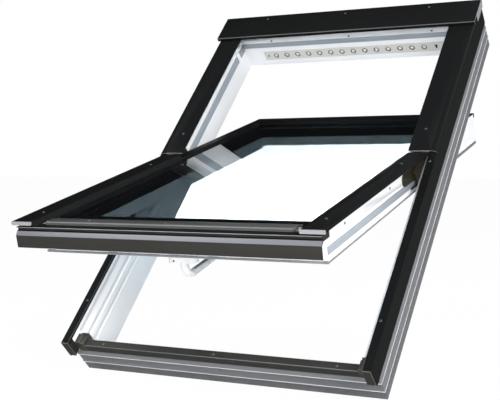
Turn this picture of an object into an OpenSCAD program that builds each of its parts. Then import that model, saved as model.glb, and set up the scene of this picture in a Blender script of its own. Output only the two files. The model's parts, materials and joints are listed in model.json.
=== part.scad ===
// Centre-pivot roof window: a plastic frame with dark metal covers, and a glazed sash
// that turns about a level axis at mid height. Millimetres.
// Everything is drawn in the window's own plane: X across, Y up the roof, Z out of the roof.
// The sash is drawn shut, turned open about its axis, and the whole is tilted to the roof pitch.

/* [Frame] */
// Overall width of the frame
frame_w = 780; // [660:10:1140]
// Overall height of the frame along the roof
frame_h = 1180; // [980:10:1600]
// Pitch of the roof that the window is set in
roof_pitch = 45; // [20:1:70]
// Depth of the plastic frame profile
frame_depth = 126; // [120:1:140]
// Thickness of the jambs, outer face to inner face
jamb_t = 39; // [36:1:48]
// Thickness of the head
head_t = 36; // [30:1:48]
// Depth of the sill, front to back
sill_depth = 39; // [32:1:50]
// How far the sill's outer wall lies under the frame's depth
sill_drop = 27.5; // [22:0.5:34]
// Thickness of the sill's outer wall
sill_wall = 16; // [12:0.5:19]
// Height of the sill's low inner step
sill_step = 24; // [16:1:28]
// Height of the rim that carries the side covers
rim_h = 5.5; // [3:0.5:8]
// How far the frame's inner ledge lies under the frame's depth
ledge_drop = 30; // [26:1:34]

/* [Grey casing] */
// Thickness of the casing boards round the frame
casing_t = 5; // [4:0.5:7]
// Height of the casing boards
casing_h = 76; // [72:1:84]
// Heights of the two beads that run along the boards
bead_heights = [30, 60];
// How far a bead stands out
bead_out = 1.5; // [0.5:0.1:2]
// Radius of the fixing holes in the boards
fixing_r = 3; // [2:0.5:4]
// Height of the fixing holes above the back
fixing_height = 50; // [44:1:54]
// Number of fixing holes in each side board
fixing_count = 4; // [2:1:6]
// Distance from the ends of the frame to the first fixing hole
fixing_end = 119; // [80:1:160]

/* [Metal covers] */
// Sheet thickness of the covers
cover_t = 1.5; // [1:0.1:2]
// Width of the side covers' front strip
strip_w = 20; // [16:0.5:22]
// How far the side covers run past the bottom edge
cover_overhang = 20; // [12:1:30]
// Height of the upper covers above the plastic profile
cover_rise = 14; // [12:0.5:18]
// Reach of the upper covers in from the frame's outer face
cover_reach = 70; // [60:1:72]
// Width of the round shoulder of the upper covers
shoulder_w = 16; // [12:1:20]
// Depth of the hood from its lip to the frame's top edge
hood_reach = 88; // [70:1:96]
// How far the hood runs past the frame's top edge
hood_past = 10; // [8:1:16]
// Depth of the hood's back skirt
hood_skirt = 14; // [10:1:40]
// Height of the hood above the upper covers
hood_rise = 12; // [10:0.5:16]
// Gap between the hood's lip and the upper covers
hood_gap = 1; // [0.6:0.1:2]

/* [Ventilation strip] */
// Half length of the perforated strip
vent_half = 290; // [270:5:300]
// Width of the perforated strip
vent_w = 31; // [26:1:34]
// Height of the strip's lower edge above the back
vent_low = 20; // [14:1:24]
// Thickness of the strip
vent_t = 2; // [1.5:0.1:3]
// Radius of the round holes
vent_r = 6; // [4:0.5:7]
// Distance between the holes
vent_pitch = 36; // [30:1:38]
// Number of holes
vent_count = 15; // [11:2:15]

/* [Sash] */
// Angle that the sash stands open
open_angle = 31.6; // [0:0.1:90]
// Height of the turning axis above the bottom edge of the frame
pivot_height = 608; // [520:1:640]
// Gap between the sash and the jambs
sash_gap = 10; // [9.5:0.1:12]
// Gap between the sash and the head
sash_top_gap = 11; // [10:1:16]
// Gap between the sash's bottom rail and the sill's wall
sash_low_gap = 14; // [13:0.5:18]
// How far the sash's covers hang below the frame's bottom edge
sash_drop = 39; // [36:1:48]
// Width of the stiles
stile_w = 36; // [34:1:46]
// Width of the bottom rail
bottom_rail_w = 60; // [56:1:80]
// Width of the top rail
top_rail_w = 66; // [56:1:80]
// Depth of the sash profile under the cover plane
sash_depth = 86; // [82:1:90]
// Thickness of the wall that holds the glass edge
rebate_wall = 8; // [7:0.5:10]
// Width of the lower sash covers
sash_cover_w = 53; // [50:1:56]
// How far the upper sash covers lie under the lower ones
upper_drop = 7.5; // [6:0.5:8]
// Gap between the shut sash's covers and the side covers' strips under them
nest_gap = 1; // [0.6:0.1:2]
// Distance of the lower sash covers from the frame's outer face
sash_cover_in = 15; // [12:1:18]

/* [Glass] */
// Depth of the outer glass face under the cover plane
glass_drop = 14; // [13.5:0.1:16]
// Thickness of each pane
pane_t = 4; // [3:0.5:5]
// Width of the spacer between the panes
spacer_w = 14; // [12:1:15]
// Thickness of the spacer bar
spacer_t = 8; // [6:0.5:10]
// Gap between the glass edge and the rebate wall
glass_gap = 2; // [1.5:0.1:3]
// How far the outer pane steps down past the inner pane
pane_step = 24; // [20:1:30]

/* [Hinges] */
// Outer radius of the hinge's curved tongue
tongue_r = 50; // [46:1:52]
// Radial width of the tongue
tongue_w = 16; // [12:1:18]
// Radial play of the tongue in its track
tongue_play = 0.1; // [0.05:0.01:0.2]
// Half length of the hinge plate on the sash
arm_half = 115; // [100:1:130]
// Thickness of the hinge plate on the sash
arm_t = 4; // [3:0.5:5]
// Gap between the two hinge plates
hinge_gap = 1.2; // [0.8:0.1:2]

/* [Handle and latch] */
// Length of the handle's grip from its axis
grip_length = 120; // [100:1:135]
// How far the handle's neck stands out from its base
neck_length = 40; // [32:1:50]
// Radius of the handle's spindle
spindle_r = 6; // [4:0.5:7]
// Running play of the spindle and the latch
running_play = 0.1; // [0.05:0.01:0.2]
// Length of the handle's base
base_length = 70; // [56:1:90]
// Width of the handle's base
base_w = 30; // [26:1:32]
// Thickness of the handle's base
base_t = 20; // [14:1:24]
// Width of the latch bolt
bolt_w = 16; // [12:1:20]
// Thickness of the latch bolt
bolt_t = 8; // [6:0.5:10]
// Distance from the handle's axis to the latch bolt
bolt_offset = 40; // [34:1:60]

/* [Hidden] */
$fn = 48;
half = frame_w / 2;
inner = half - jamb_t;
head_inner = frame_h - head_t;
origin_up = sill_depth / 2;
far = 400;

// Frame heights
rim_top = frame_depth + rim_h;
sill_top = frame_depth - sill_drop;
ledge = frame_depth - ledge_drop;
side_top = rim_top + cover_t;
cover_plane = frame_depth + cover_rise;
cover_foot = casing_h + 2;
cap_foot = cover_foot + 6;
strip_inner = half + cover_t - strip_w;
hood_plane = cover_plane + hood_rise;
hood_lip = frame_h - hood_reach;
hood_half = half + cover_t + 1.5;
wall_inner = strip_inner + cover_t;
head_wall = frame_h - 20;
hood_rail_foot = head_wall;
rail_under = cover_plane + 0.5;
block_up = 32;
block_top = ledge + 16;

// Seals and gaskets of the frame
groove_low = ledge - 27;
groove_high = ledge - 15;
groove_depth = 3;
seal_low = ledge - 30;
seal_high = ledge - 12;
seal_out = 3;
lip_from = inner + 5;
lip_w = 7;
lip_out = 3;

// Sash edges, shut
sash_half = inner - sash_gap;
stile_inner = sash_half - stile_w;
rail_front = sill_wall + sash_low_gap;
rail_back = rail_front + bottom_rail_w;
sash_top = head_inner - sash_top_gap;
top_rail_front = sash_top - top_rail_w;
sash_back = cover_plane - sash_depth;
cover_outer = half - sash_cover_in;
sash_flange = cover_plane - side_top - nest_gap;
cover_inner = cover_outer - sash_cover_w;
cover_low = -sash_drop;
cover_high = pivot_height - 2.5;
upper_from = pivot_height + 3;
upper_sheet = cover_plane - upper_drop;
wall_top = upper_sheet - cover_t;
flange_lean = 8;
gasket_t = 1.5;
gasket_w = 8;
edge_gasket_t = 5;
edge_gasket_w = 12;
lip_reach = 3.5;

// Glass
glass_face = cover_plane - glass_drop;
outer_pane_back = glass_face - pane_t;
inner_pane_face = outer_pane_back - spacer_w;
inner_pane_back = inner_pane_face - pane_t;
bed_t = 2;
bed = inner_pane_back - bed_t;
glass_half = sash_half - rebate_wall - glass_gap;
glass_top = sash_top - rebate_wall - glass_gap;
inner_glass_low = rail_front + rebate_wall + glass_gap + 2;
outer_glass_low = inner_glass_low - pane_step;

// Bottom rail cover of the sash
nose = cover_low - 5;
nose_half = half - 24;
shelf = glass_face + gasket_t;
web_low = shelf - 12;
nose_low = shelf - 46;
notch_up = -3;
shelf_half = sash_half + 6;
bar_half = cover_inner - 24;
bar_top = cover_plane - 5;
bar_set = 20;
bar_front = cover_low + bar_set;
bar_w = 26;
bar_round = 2;
bar_grip = 10;

// Hinges
pivot = [0, pivot_height, cover_plane];
arm_drop = 44;
arm_r = 16;
tongue_in = tongue_r - tongue_w;
tongue_clear = 4;
cover_hem = tongue_clear - 0.4;
track_half = tongue_r + 12;
track_low = cover_plane - tongue_r - 14;
track_high = cover_plane - 6;
track_face = sash_half + arm_t + hinge_gap;
track_floor = 1;

// Handle and latch
handle_up = rail_front + 18;
base_face = sash_back - base_t;
neck_end = base_face - neck_length;
spindle_in = 30;
hub_r = 9;
grip_r = 8;
bolt_height = sill_top - 16.5;
bolt_length = 40;
bolt_sunk = 1;
keep_t = 2;
keep_half = bolt_w / 2 + 22;
keep_play = 2;

// Screws: pan heads with a short shank in a clear hole
screw_r = 1.6;
screw_play = 0.3;
hood_screw_in = 140;
bar_screw_in = 106;
bar_screw_up = 36;
stile_screw_in = 19;
stile_screw_up = 203;
head_r = 3;
head_h = 1.4;
hood_screws = [for (u = [hood_screw_in - half, 0, half - hood_screw_in]) [u, frame_h - 9, hood_plane]];
sill_screws = [for (u = [51 - inner, 0, inner - 51]) [u, sill_wall / 2, sill_top + cover_t]];
side_screws = [for (v = [108, pivot_height - 24]) [half - 10, v, side_top]];
upper_screw = [half - 42, pivot_height + 82, cover_plane];
sash_screws = [for (v = [75, 530]) [half - 45, v + cover_low, cover_plane]];
upper_sash_screw = [stile_inner + stile_screw_in, pivot_height + stile_screw_up, upper_sheet];
bar_screws = [for (u = [bar_screw_in - bar_half, 0, bar_half - bar_screw_in]) [u, cover_low + bar_screw_up, bar_top]];
vent_screws = [for (side = [-1, 1]) [side * (vent_half - 13), head_inner - vent_t, vent_low + vent_w / 2]];
head_screws = [for (u = [hood_screw_in - half, 0, half - hood_screw_in]) [u, head_inner, seal_high + 6]];

// Placing

module in_roof() {
    rotate([roof_pitch, 0, 0]) translate([0, -origin_up, 0]) children();
}

module in_sash() {
    in_roof() translate(pivot) rotate([-open_angle, 0, 0]) translate(-pivot) children();
}

module on_left() {
    mirror([1, 0, 0]) children();
}

module on_both() {
    children();
    mirror([1, 0, 0]) children();
}

// A section with X across and Y out, drawn along the roof
module along_v(from, to) {
    translate([0, to, 0]) rotate([90, 0, 0]) linear_extrude(to - from) children();
}

// A section with X up the roof and Y out, drawn across the window
module along_u(from, to) {
    translate([from, 0, 0]) rotate([90, 0, 90]) linear_extrude(to - from) children();
}

module box(low, high) {
    translate(low) cube(high - low);
}

// Round bars in the three directions
module rod_u(at, r, length) {
    translate(at) rotate([0, 90, 0]) cylinder(r = r, h = length);
}

module rod_v(at, r, length) {
    translate(at) rotate([-90, 0, 0]) cylinder(r = r, h = length);
}

module rod_w(at, r, length) {
    translate(at) cylinder(r = r, h = length);
}

module screw_w(at, depth) {
    rod_w(at, head_r, head_h);
    rod_w(at - [0, 0, depth], screw_r, depth);
}

module screw_hole_w(at, depth) {
    rod_w(at - [0, 0, depth], screw_r + screw_play, depth + 1);
}

module screw_v(at, depth) {
    rod_v(at - [0, head_h, 0], head_r, head_h);
    rod_v(at, screw_r, depth);
}

module screw_hole_v(at, depth) {
    rod_v(at - [0, 1, 0], screw_r + screw_play, depth + 1);
}

// Frame members

function fixing_ups() =
    [for (i = [0 : fixing_count - 1])
        fixing_end + i * (frame_h - 2 * fixing_end) / (fixing_count - 1)];

module head_zone() {
    translate([0, 0, -1]) linear_extrude(far)
        polygon([[-half, frame_h], [half, frame_h], [inner, head_inner], [-inner, head_inner]]);
}

module jamb_section() {
    polygon([[inner, 0], [half - casing_t, 0], [half - casing_t, casing_h], [half, casing_h],
        [half, rim_top], [wall_inner, rim_top], [wall_inner, ledge], [inner, ledge],
        [inner, groove_high], [inner + groove_depth, groove_high],
        [inner + groove_depth, groove_low], [inner, groove_low]]);
}

module jamb() {
    difference() {
        along_v(0, frame_h) jamb_section();
        head_zone();
        box([0, -1, -1], [half + 1, casing_t, casing_h]);
        box([0, frame_h - casing_t, -1], [half + 1, frame_h + 1, casing_h]);
        box([inner - 1, -1, cover_foot], [wall_inner, block_up, far]);
        for (v = fixing_ups()) rod_u([half - casing_t - 25, v, fixing_height], fixing_r + 0.4, 30);
        for (at = side_screws) screw_hole_w(at, 14);
    }
}

module left_jamb() { color("white") in_roof() on_left() jamb(); }
module right_jamb() { color("white") in_roof() jamb(); }

module head() {
    color("white") in_roof() difference() {
        intersection() {
            along_u(-half, half) polygon([[head_inner, 0], [frame_h - casing_t, 0],
                [frame_h - casing_t, casing_h], [frame_h, casing_h], [frame_h, rim_top],
                [head_wall, rim_top], [head_wall, ledge], [head_inner, ledge],
                [head_inner, groove_high], [head_inner + groove_depth, groove_high],
                [head_inner + groove_depth, groove_low], [head_inner, groove_low]]);
            head_zone();
        }
        box([-vent_half + 28, head_inner - 1, vent_low + 8],
            [vent_half - 28, head_inner + 12, vent_low + vent_w - 8]);
        for (at = vent_screws) screw_hole_v(at, 8);
        for (at = head_screws) screw_hole_v(at, 8);
        on_both() box([strip_inner, head_inner, frame_depth], [wall_inner, frame_h + 1, far]);
    }
}

module sill() {
    color("white") in_roof() difference() {
        along_u(-inner, inner) polygon([[casing_t, 0], [sill_depth, 0], [sill_depth, sill_step],
            [sill_wall, sill_step - 2], [sill_wall, sill_top], [0, sill_top], [0, casing_h],
            [casing_t, casing_h]]);
        box([bolt_offset - bolt_w / 2 - keep_play, casing_t + 1, bolt_height - bolt_t / 2 - keep_play],
            [bolt_offset + bolt_w / 2 + keep_play, sill_wall + 1, bolt_height + bolt_t / 2 + keep_play]);
        for (at = sill_screws) screw_hole_w(at, 14);
    }
}

// Grey casing boards, mitred at the corners

module casing_section() {
    polygon(concat([[-casing_t, 0], [0, 0]],
        [for (h = bead_heights) each [[0, h - 2.5], [bead_out, h - 1], [bead_out, h + 1], [0, h + 2.5]]],
        [[0, casing_h], [-casing_t, casing_h]]));
}

module casing_end(up, dir) {
    edge = half + 2 * bead_out;
    translate([0, 0, -1]) linear_extrude(far)
        polygon([[-edge, up - dir * 2 * bead_out], [edge, up - dir * 2 * bead_out],
            [half - casing_t, up + dir * casing_t], [-half + casing_t, up + dir * casing_t]]);
}

module side_casing() {
    difference() {
        along_v(-bead_out, frame_h + bead_out) translate([half, 0]) casing_section();
        casing_end(0, 1);
        casing_end(frame_h, -1);
        for (v = fixing_ups()) rod_u([half - casing_t - 1, v, fixing_height], fixing_r, casing_t + 3);
    }
}

module left_casing() { color("gray") in_roof() on_left() side_casing(); }
module right_casing() { color("gray") in_roof() side_casing(); }

module top_casing() {
    color("gray") in_roof() intersection() {
        along_u(-half - bead_out, half + bead_out) translate([frame_h, 0]) casing_section();
        casing_end(frame_h, -1);
    }
}

module bottom_casing() {
    color("gray") in_roof() difference() {
        intersection() {
            along_u(-half - bead_out, half + bead_out) mirror([1, 0]) casing_section();
            casing_end(0, 1);
        }
        rod_v([0, -3, fixing_height], fixing_r, casing_t + 4);
    }
}

// Metal covers of the frame

module side_cover_section() {
    out = half + cover_t;
    polygon([[out, cover_foot], [out, side_top], [strip_inner, side_top], [strip_inner, frame_depth],
        [wall_inner, frame_depth], [wall_inner, rim_top], [half, rim_top], [half, cover_foot]]);
}

module side_cover() {
    difference() {
        along_v(-cover_overhang, frame_h) side_cover_section();
        for (at = side_screws) screw_hole_w(at, 6);
    }
}

module left_side_cover() { color("dimgray") in_roof() on_left() side_cover(); }
module right_side_cover() { color("dimgray") in_roof() side_cover(); }

// Plug that shuts the lower end of a side cover
module end_cap() {
    difference() {
        union() {
            box([strip_inner, -cover_overhang - 2, cap_foot], [half + cover_t, -cover_overhang, side_top]);
            box([wall_inner, -cover_overhang, cap_foot], [half, -bead_out, rim_top]);
        }
        box([wall_inner + 2, -cover_overhang + 2, cap_foot + 2], [half - 2, 1, rim_top - 2]);
    }
}

module left_end_cap() { color("dimgray") in_roof() on_left() end_cap(); }
module right_end_cap() { color("dimgray") in_roof() end_cap(); }

function shoulder(from, to, high, low) =
    [for (turn = [0 : 15 : 90]) [from + (to - from) * sin(turn), low + (high - low) * cos(turn)]];

module upper_cover() {
    out = half + cover_t;
    reach = half - cover_reach;
    bend = out - shoulder_w;
    sheet = cover_plane - cover_t;
    hem = 3;
    difference() {
        along_v(pivot_height + 5, hood_rail_foot - 2)
            polygon(concat([[reach, sheet - hem], [reach, cover_plane]],
                shoulder(bend, out, cover_plane, side_top),
                [for (i = [6 : -1 : 0]) shoulder(bend, half, sheet, side_top)[i]],
                [[reach + cover_t, sheet], [reach + cover_t, sheet - hem]]));
        screw_hole_w(upper_screw, 6);
    }
}

module left_upper_cover() { color("dimgray") in_roof() on_left() upper_cover(); }
module right_upper_cover() { color("dimgray") in_roof() upper_cover(); }

// Slotted plugs in the open lower ends of the upper covers
module upper_cover_plugs() {
    sheet = cover_plane - cover_t;
    low = pivot_height + 5;
    color("gray") in_roof() on_both() difference() {
        union() {
            box([inner + 1, low + 1, frame_depth], [strip_inner - 0.5, low + 5, sheet]);
            box([half - cover_reach + 2 * cover_t, low + 1, sheet - 3], [inner + 2, low + 5, sheet]);
        }
        for (u = [inner + 4, inner + 12]) box([u, low, frame_depth + 3], [u + 5, low + 6, sheet - 3]);
    }
}

module hood() {
    back = frame_h + hood_past;
    color("dimgray") in_roof() difference() {
        along_u(-hood_half, hood_half) polygon([[hood_lip, cover_plane + hood_gap],
            [hood_lip, hood_plane - 2], [hood_lip + 2, hood_plane], [back - 3, hood_plane],
            [back, hood_plane - 3], [back, hood_plane - hood_skirt], [back - cover_t, hood_plane - hood_skirt],
            [back - cover_t, hood_plane - 3.6], [back - 3.6, hood_plane - cover_t],
            [hood_lip + 2.6, hood_plane - cover_t], [hood_lip + cover_t, hood_plane - 2.6],
            [hood_lip + cover_t, cover_plane + hood_gap]]);
        for (at = hood_screws) screw_hole_w(at, 6);
    }
}

// Carrier that the hood is screwed to
module hood_rail() {
    color("gray") in_roof() difference() {
        along_u(1 - half, half - 1) polygon([[hood_rail_foot, rail_under], [hood_lip + 6, rail_under],
            [hood_lip + 6, hood_plane - cover_t], [frame_h + hood_past - 3.6, hood_plane - cover_t],
            [frame_h + hood_past - cover_t, hood_plane - 3.6], [frame_h + hood_past - cover_t, casing_h + 6],
            [frame_h + bead_out, casing_h + 6], [frame_h, casing_h + 8], [frame_h, rim_top],
            [hood_rail_foot, rim_top]]);
        on_both() box([strip_inner, 0, 0], [far, frame_h + hood_past, side_top]);
        for (at = hood_screws) screw_hole_w(at, 14);
    }
}

module sill_cover() {
    color("dimgray") in_roof() difference() {
        along_u(-inner, inner) polygon([[-cover_t, cover_foot], [-cover_t, sill_top + cover_t],
            [sill_wall + cover_t, sill_top + cover_t], [sill_wall + cover_t, sill_top - 8],
            [sill_wall, sill_top - 8], [sill_wall, sill_top], [0, sill_top], [0, cover_foot]]);
        for (at = sill_screws) screw_hole_w(at, 6);
    }
}

// Moulded block over the lower end of a jamb
module corner_block() {
    chamfer = 11;
    difference() {
        along_v(-2, block_up) polygon([[inner, cover_foot], [wall_inner, cover_foot],
            [wall_inner, block_top], [inner + chamfer, block_top], [inner, block_top - chamfer / 2]]);
        translate([inner, block_up, block_top]) rotate([45, 0, 0]) cube([far, 2 * chamfer, chamfer], center = true);
    }
}

module left_corner_block() { color("black") in_roof() on_left() corner_block(); }
module right_corner_block() { color("black") in_roof() corner_block(); }

// Seals of the frame

module seal_section() {
    polygon([[0, seal_low], [-seal_out, seal_low + 3], [-seal_out, seal_high - 3], [0, seal_high],
        [0, groove_high], [groove_depth - 0.5, groove_high], [groove_depth - 0.5, groove_low], [0, groove_low]]);
}

module side_seal() {
    along_v(pivot_height + track_half + 3, head_inner - seal_out) translate([inner, 0]) seal_section();
}

module left_frame_seal() { color("slategray") in_roof() on_left() side_seal(); }
module right_frame_seal() { color("slategray") in_roof() side_seal(); }

module top_frame_seal() {
    color("slategray") in_roof() along_u(-inner, inner) translate([head_inner, 0]) seal_section();
}

// Two soft strips on each lower jamb: one on the ledge and one on the wall above it
module lower_gaskets() {
    color("gray") in_roof() on_both() along_v(block_up, pivot_height - track_half) {
        polygon([[lip_from, ledge], [lip_from, ledge + 1], [lip_from + lip_w / 2, ledge + lip_out],
            [lip_from + lip_w, ledge + 1], [lip_from + lip_w, ledge]]);
        polygon([[wall_inner, ledge + 14], [wall_inner - 1, ledge + 14], [wall_inner - lip_out, ledge + 18],
            [wall_inner - 1, ledge + 22], [wall_inner, ledge + 22]]);
    }
}

module vent_strip() {
    high = vent_low + vent_w;
    color("lightgray") in_roof() difference() {
        box([-vent_half, head_inner - vent_t, vent_low], [vent_half, head_inner, high]);
        for (i = [0 : vent_count - 1])
            rod_v([(i - (vent_count - 1) / 2) * vent_pitch, head_inner - vent_t - 1, vent_low + vent_w / 2],
                vent_r, vent_t + 2);
        for (at = vent_screws) screw_hole_v(at, 8);
    }
}

// Hinges: a curved track on the jamb, and a plate with a curved tongue on the sash

module half_ring(outer, hole, from, to, drop) {
    intersection() {
        difference() {
            rod_u([from, pivot_height, cover_plane], outer, to - from);
            rod_u([from - 1, pivot_height, cover_plane], hole, to - from + 2);
        }
        box([from - 1, 0, 0], [to + 1, frame_h, cover_plane - drop]);
    }
}

module hinge_track() {
    r = 6;
    difference() {
        union() {
            box([track_face, pivot_height - track_half, track_low + r],
                [inner, pivot_height + track_half, track_high - r]);
            box([track_face, pivot_height - track_half + r, track_low],
                [inner, pivot_height + track_half - r, track_high]);
            for (v = [-1, 1], w = [track_low + r, track_high - r])
                rod_u([track_face, pivot_height + v * (track_half - r), w], r, inner - track_face);
        }
        half_ring(tongue_r + tongue_play, tongue_in - tongue_play, track_face - 1, inner - track_floor, 0);
    }
}

module left_hinge_track() { color("darkkhaki") in_roof() on_left() hinge_track(); }
module right_hinge_track() { color("darkkhaki") in_roof() hinge_track(); }

module hinge_arm() {
    face = sash_half + arm_t;
    level = cover_plane - arm_drop;
    tip = inner - track_floor - 0.5;
    difference() {
        union() {
            box([sash_half, pivot_height - arm_half + arm_r, level - arm_r],
                [face, pivot_height + arm_half - arm_r, level + arm_r]);
            for (side = [-1, 1])
                rod_u([sash_half, pivot_height + side * (arm_half - arm_r), level], arm_r, arm_t);
            intersection() {
                rod_u([sash_half, pivot_height, cover_plane], tongue_r + 4, arm_t);
                box([0, 0, 0], [far, frame_h, cover_plane - tongue_clear - upper_drop]);
            }
            half_ring(tongue_r, tongue_in, face - 0.5, tip, tongue_clear + upper_drop);
        }
        rod_u([sash_half - 1, pivot_height, level], 4, arm_t + 2);
    }
}

module left_hinge_arm() { color("darkkhaki") in_sash() on_left() hinge_arm(); }
module right_hinge_arm() { color("darkkhaki") in_sash() hinge_arm(); }

// Plate with an opening for the latch, on the sill's wall
module latch_keep() {
    room = keep_play + 0.5;
    color("silver") in_roof() difference() {
        box([bolt_offset - keep_half, sill_wall, bolt_height - 11],
            [bolt_offset + keep_half, sill_wall + keep_t, sill_top - 9]);
        box([bolt_offset - bolt_w / 2 - room, 0, bolt_height - bolt_t / 2 - room],
            [bolt_offset + bolt_w / 2 + room, far, bolt_height + bolt_t / 2 + room]);
        for (side = [-1, 1]) rod_v([bolt_offset + side * (keep_half - 8), 0, bolt_height], 2, far);
    }
}

module frame_screws() {
    color("silver") in_roof() {
        for (at = hood_screws) screw_w(at, 12);
        for (at = sill_screws) screw_w(at, 12);
        on_both() for (at = side_screws) screw_w(at, 12);
        on_both() screw_w(upper_screw, 5);
        for (at = vent_screws) screw_v(at, 8);
        for (at = head_screws) screw_v(at, 7);
    }
}

// Sash members

module stile() {
    difference() {
        along_v(rail_front, sash_top) polygon([[stile_inner, sash_back], [sash_half + lip_reach, sash_back],
            [sash_half + lip_reach, sash_back + 3], [sash_half, sash_back + 5.5], [sash_half, wall_top],
            [sash_half - rebate_wall, wall_top], [sash_half - rebate_wall, bed], [stile_inner, bed]]);
        for (v = [170, 446])
            box([sash_half - 3, v + cover_low, sash_back + 32], [sash_half + 1, v + cover_low + 7, sash_back + 36]);
    }
}

module left_stile() { color("white") in_sash() on_left() stile(); }
module right_stile() { color("white") in_sash() stile(); }

module top_rail() {
    color("white") in_sash() {
        box([-stile_inner, top_rail_front, sash_back], [stile_inner, sash_top, bed]);
        box([rebate_wall - sash_half, sash_top - rebate_wall, bed], [sash_half - rebate_wall, sash_top, wall_top]);
    }
}

module bottom_rail() {
    wall = outer_pane_back - 1.5;
    room = running_play;
    color("white") in_sash() difference() {
        union() {
            box([-stile_inner, rail_front, sash_back], [stile_inner, rail_back, bed]);
            box([rebate_wall - sash_half, rail_front, bed], [sash_half - rebate_wall, rail_front + rebate_wall, wall]);
        }
        rod_w([0, handle_up, sash_back - 1], spindle_r + room, spindle_in + 2);
        box([bolt_offset - bolt_w / 2 - room, rail_front - 1, bolt_height - bolt_t / 2 - room],
            [bolt_offset + bolt_w / 2 + room, rail_front + bolt_length + 2, bolt_height + bolt_t / 2 + room]);
    }
}

// Covers of the sash

module sash_cover() {
    sheet = cover_plane - cover_t;
    foot = glass_face + gasket_t;
    leg = sash_half - rebate_wall / 2;
    difference() {
        along_v(cover_low, cover_high) {
            polygon([[cover_outer, cover_plane - sash_flange], [cover_outer, cover_plane],
                [cover_inner, cover_plane], [cover_inner - flange_lean, foot],
                [cover_inner - flange_lean + cover_t, foot], [cover_inner + cover_t / 2, sheet],
                [cover_outer - cover_t, sheet], [cover_outer - cover_t, cover_plane - sash_flange]]);
        }
        for (at = sash_screws) screw_hole_w(at, 5);
    }
    box([leg - 1, rail_front, wall_top], [leg + 1, cover_high, sheet]);
}

module left_sash_cover() { color("dimgray") in_sash() on_left() sash_cover(); }
module right_sash_cover() { color("dimgray") in_sash() sash_cover(); }

// Light caps on the lower ends of the sash covers
module sash_end_cap() {
    r = 2;
    low = cover_plane - sash_flange - 2;
    along_v(cover_low - 3, cover_low) {
        translate([cover_inner - 1, low + r]) square([cover_outer - cover_inner + 1, cover_plane - low - 2 * r]);
        translate([cover_inner - 1 + r, low]) square([cover_outer - cover_inner + 1 - 2 * r, cover_plane - low]);
        for (u = [cover_inner - 1 + r, cover_outer - r], w = [low + r, cover_plane - r]) translate([u, w]) circle(r);
    }
}

module left_sash_end_cap() { color("lightgray") in_sash() on_left() sash_end_cap(); }
module right_sash_end_cap() { color("lightgray") in_sash() sash_end_cap(); }

module upper_sash_cover() {
    out = sash_half + 2;
    crest = stile_inner + 13;
    foot = glass_face + gasket_t;
    difference() {
        along_v(upper_from, top_rail_front + 8) polygon([[out, upper_sheet - cover_hem], [out, upper_sheet],
            [crest, upper_sheet], [crest - 6, foot], [crest - 6 + cover_t, foot],
            [crest + cover_t / 2, wall_top], [out - cover_t, wall_top], [out - cover_t, upper_sheet - cover_hem]]);
        screw_hole_w(upper_sash_screw, 5);
    }
}

module left_upper_sash_cover() { color("black") in_sash() on_left() upper_sash_cover(); }
module right_upper_sash_cover() { color("black") in_sash() upper_sash_cover(); }

module top_rail_cover() {
    out = sash_top + 2;
    crest = top_rail_front + 8;
    edge = sash_half - rebate_wall;
    foot = glass_face + gasket_t;
    color("black") in_sash() along_u(-sash_half - 2, sash_half + 2) polygon([[out, upper_sheet - 12],
        [out, upper_sheet], [crest, upper_sheet], [crest, wall_top], [out - cover_t, wall_top],
        [out - cover_t, upper_sheet - 12]]);
    color("black") in_sash() along_u(0.5 - edge, edge - 0.5) polygon([[crest, foot], [crest, upper_sheet],
        [crest + cover_t, upper_sheet], [crest + cover_t, foot]]);
}

// Stepped nose of the sash over the sill
module bottom_rail_cover() {
    color("dimgray") in_sash() difference() {
        along_u(-nose_half, nose_half) polygon([[cover_low, shelf], [outer_glass_low - 2, shelf],
            [outer_glass_low - 2, shelf - 8], [rail_front, shelf - 8], [rail_front, web_low],
            [cover_low + 4, web_low], [nose + 1.8, web_low - 7], [nose + 1.8, nose_low], [nose, nose_low],
            [nose, web_low - 6], [cover_low + 1, web_low + 2.5], [cover_low + 6, web_low + 4],
            [cover_low + 6, shelf - 3], [cover_low, shelf - 1.6]]);
        on_both() box([shelf_half, notch_up, 0], [far, far, far]);
        for (at = bar_screws) screw_hole_w(at, 16);
    }
}

// Bar that clamps the lower edge of the outer pane
module glazing_bar() {
    foot = glass_face + gasket_t;
    color("dimgray") in_sash() difference() {
        along_u(-bar_half, bar_half) polygon([[bar_front, shelf], [bar_front + bar_round, bar_top - 1.5],
            [bar_front + 2 * bar_round, bar_top], [bar_front + bar_w, bar_top],
            [bar_front + bar_w + 2 * bar_round, bar_top - 2 * bar_round],
            [outer_glass_low + bar_grip, foot + bar_round], [outer_glass_low + bar_grip, foot]]);
        for (at = bar_screws) screw_hole_w(at, 8);
    }
}

// Glass unit: a long outer pane, a spacer frame and a shorter inner pane

module outer_pane() {
    color("lightblue", 0.5) in_sash()
        box([-glass_half, outer_glass_low, outer_pane_back], [glass_half, glass_top, glass_face]);
}

module inner_pane() {
    color("lightblue", 0.5) in_sash()
        box([-glass_half, inner_glass_low, inner_pane_back], [glass_half, glass_top, inner_pane_face]);
}

module spacer() {
    edge = 14;
    color("black") in_sash() difference() {
        box([-glass_half + edge, inner_glass_low + edge, inner_pane_face],
            [glass_half - edge, glass_top - edge, outer_pane_back]);
        box([-glass_half + edge + spacer_t, inner_glass_low + edge + spacer_t, 0],
            [glass_half - edge - spacer_t, glass_top - edge - spacer_t, far]);
    }
}

module gasket_ring(low, high, half_w, from, to) {
    difference() {
        box([-half_w, from, low], [half_w, to, high]);
        box([-half_w + gasket_w, from + gasket_w, low - 1], [half_w - gasket_w, to - gasket_w, high + 1]);
    }
}

module glazing_gaskets() {
    color("black") in_sash() {
        gasket_ring(glass_face, glass_face + gasket_t, stile_inner + 13, outer_glass_low, top_rail_front + 12);
        gasket_ring(bed, inner_pane_back, stile_inner + gasket_w, rail_back - gasket_w, top_rail_front + gasket_w);
    }
}

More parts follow.
